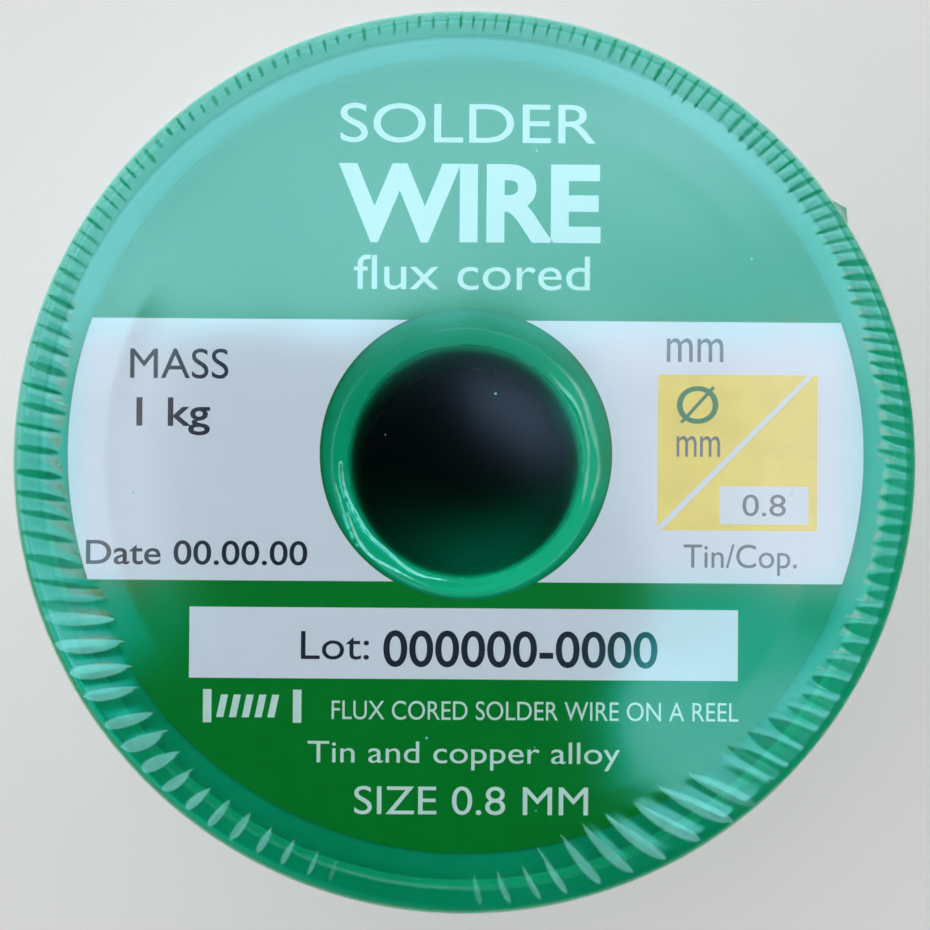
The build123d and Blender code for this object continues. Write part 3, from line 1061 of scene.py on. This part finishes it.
def panel_glow(x, y):
    """The panel's colour at the places that the film mirrors it to, in millimetres on the reel's face."""
    right_edge = np.interp(y, [-110, -50, -40, -36, -32, -26, -20, -14, 0, 10, 17],
                           [110, 44, 33, 22, 16, 15.5, 18, 20, 16.5, 14, 12])
    left_edge = np.interp(y, [-110, -45, -28, -18, 0, 17], [-150, -80, -50, -35, -35, -34])
    dark = 1 - smoothstep(10.5, 14.5, y + 0.05 * x)
    dark = dark * (1 - smoothstep(right_edge - 3, right_edge + 3, x))
    dark = dark * smoothstep(left_edge - 10, left_edge + 10, x)
    patch = bell(x, 37.5, 3.2) * bell(y, -16.6, 2.2)
    places = np.stack([x.ravel(), y.ravel(), np.zeros(x.size)], 1)
    cloud = 0.9 + 0.25 * wavy(places, 0.05, 2).reshape(x.shape)
    level = np.interp(y, [-50, -24, -18, -6, 7, 11, 15, 50], [5.7, 5.7, 3.2, 2.8, 2.6, 4.0, 7.5, 8.6])
    level = level * (1 + 0.6 * smoothstep(24, 36, np.abs(x)) * (y > -20) * (1 - smoothstep(7, 15, y)))
    glow = level * (1 - dark) * (1 - 0.7 * patch) * cloud

    # Little shows in the film over the bore: two patches at the lip's right, a dim one and a green low side.
    reach = np.hypot(x, y)
    turn = np.degrees(np.arctan2(y, x))
    beside = bell(turn, 25, 11) + 0.8 * bell(turn, -12, 5)
    on_lip = smoothstep(12.4, 12.8, reach) * (1 - smoothstep(14.6, 16.0, reach))
    glow = glow * smoothstep(15.2, 17.8, reach) + 2.6 * beside * on_lip
    off_label = smoothstep(41.5, 43.0, reach) * (1 - smoothstep(44.4, 45.4, reach)) * smoothstep(5, 25, y)
    glow = glow * (1 - 0.2 * off_label)
    from_dim_x, from_dim_y = x - 5.5, y - 5.0
    along = from_dim_x * 0.8 - from_dim_y * 0.6
    across = from_dim_x * 0.6 + from_dim_y * 0.8
    dim = bell(along, 0.0, 6.5) * bell(across, 0.0, 3.2)
    over_band = smoothstep(-13.5, -11.5, y) * (1 - smoothstep(12, 14, y))
    over_band = over_band * smoothstep(15, 18, reach) * (1 - smoothstep(39.5, 41.5, np.abs(x)))
    plain = glow[..., None] * np.array([0.85, 0.88, 1.0])
    colour = tinted(glow) * (1 - over_band[..., None]) + plain * over_band[..., None]
    colour += dim[..., None] * np.array([0.7, 1.0, 1.6])
    low_side = bell(turn, -80, 42) * smoothstep(4.5, 12.3, reach) * (reach < 12.6)
    colour += low_side[..., None] * np.array([0.0, 1.5, 0.75])
    return colour.reshape(-1, 3)


def make_window_panel():
    """A soft panel high above, mirrored by the flat film along the label's top and right."""
    height = 700.0
    ratio = height / CAMERA_DISTANCE
    count = 221
    half = 110.0
    face = np.linspace(-half, half, count)
    x, y = np.meshgrid(face, face)
    panel_x = x * (1 + ratio) - CAMERA_PLACE[0] * ratio
    panel_y = y * (1 + ratio) - CAMERA_PLACE[1] * ratio
    points = np.stack([panel_x, panel_y, np.full(x.shape, LABEL_TOP + height)], 2).reshape(-1, 3)
    faces = [(a, d, c, b) for a, b, c, d in grid_faces(count, count)]
    panel = mesh_piece("window_panel", points, faces, glow_material("window_panel"),
                       values={"glow": panel_glow(x, y)})
    only_in_gloss(panel)


def make_light_ring():
    """A wide ring of soft light round the reel, strongest from the upper left, which the rim's edge mirrors.
    It is faint and plain near the horizon, where the flat film would mirror it when seen from the side."""
    count = 96
    rows = 9
    low_elevation, high_elevation = math.radians(6), math.radians(60)
    distance = 1100.0
    brightest = math.radians(125)
    full_strength = 5.6
    plain_tint = np.array([0.8, 0.92, 1.0])
    points, colours = [], []
    for i in range(rows):
        elevation = low_elevation + (high_elevation - low_elevation) * i / (rows - 1)
        fade = 0.08 + 0.92 * float(smoothstep(10.0, 34.0, math.degrees(elevation)))
        plain = 1 - float(smoothstep(20.0, 34.0, math.degrees(elevation)))
        for j in range(count):
            a = 2 * math.pi * j / count
            reach = distance * math.cos(elevation)
            points.append((reach * math.cos(a), reach * math.sin(a), distance * math.sin(elevation)))
            facing = 0.5 + 0.5 * math.cos(a - brightest)
            strength = full_strength * fade * facing ** 1.5
            colours.append((1 - plain) * tinted(strength) + plain * strength * plain_tint)
    faces = []
    for i in range(rows - 1):
        faces += ring_faces(i * count, (i + 1) * count, count)
    ring = mesh_piece("light_ring", points, faces, glow_material("light_ring"), values={"glow": colours})
    only_in_gloss(ring)


def make_world():
    """Daylight from all round, more from the upper left and dim straight overhead. Glossy surfaces mirror a
    dimmer sky, pale near the horizon."""
    world = bpy.data.worlds.new("daylight")
    bpy.context.scene.world = world
    world.use_nodes = True
    tree = world.node_tree
    tree.nodes.clear()

    def node(kind, links=None, **settings):
        return add_node(tree, kind, links, **settings)

    def rise(value, low, high, to_low, to_high):
        ends = {0: value, 1: low, 2: high, 3: to_low, 4: to_high}
        return node("MapRange", ends, interpolation_type="SMOOTHSTEP").outputs[0]

    direction = node("TexCoord").outputs["Generated"]
    up = node("SeparateXYZ", {0: direction}).outputs["Z"]
    brighter_side = node("VectorMath", {0: direction, 1: (-0.5, 0.85, 0.0)}, operation="DOT_PRODUCT")
    lean = rise(brighter_side.outputs["Value"], -1.0, 1.0, 0.85, 1.7)
    strength = node("Math", {0: rise(up, 0.38, 0.74, 2.2, 0.003), 1: lean}, operation="MULTIPLY").outputs[0]
    seen = node("Background", {"Color": (0.93, 0.97, 1.0, 1.0), "Strength": strength})
    horizon = node("Background", {"Color": (0.9, 0.96, 1.0, 1.0), "Strength": 0.45})
    dimming = rise(up, 0.5, 0.95, 0.3, 0.015)
    above = node("Background", {"Color": (0.12, 0.8, 0.75, 1.0), "Strength": dimming})
    height = rise(up, 0.15, 0.5, 0.0, 1.0)
    mirrored = node("MixShader", {0: height, 1: horizon.outputs[0], 2: above.outputs[0]})
    glossy = node("LightPath").outputs["Is Glossy Ray"]
    sky = node("MixShader", {0: glossy, 1: seen.outputs[0], 2: mirrored.outputs[0]})
    node("OutputWorld", {"Surface": sky.outputs[0]})


bpy.context.scene.view_settings.view_transform = "Standard"
finish_cad_nodes()
make_label_print()
make_winding()
make_tape()
make_film()
make_floor()
make_camera()
make_window_panel()
make_light_ring()
make_world()

bpy.context.view_layer.update()
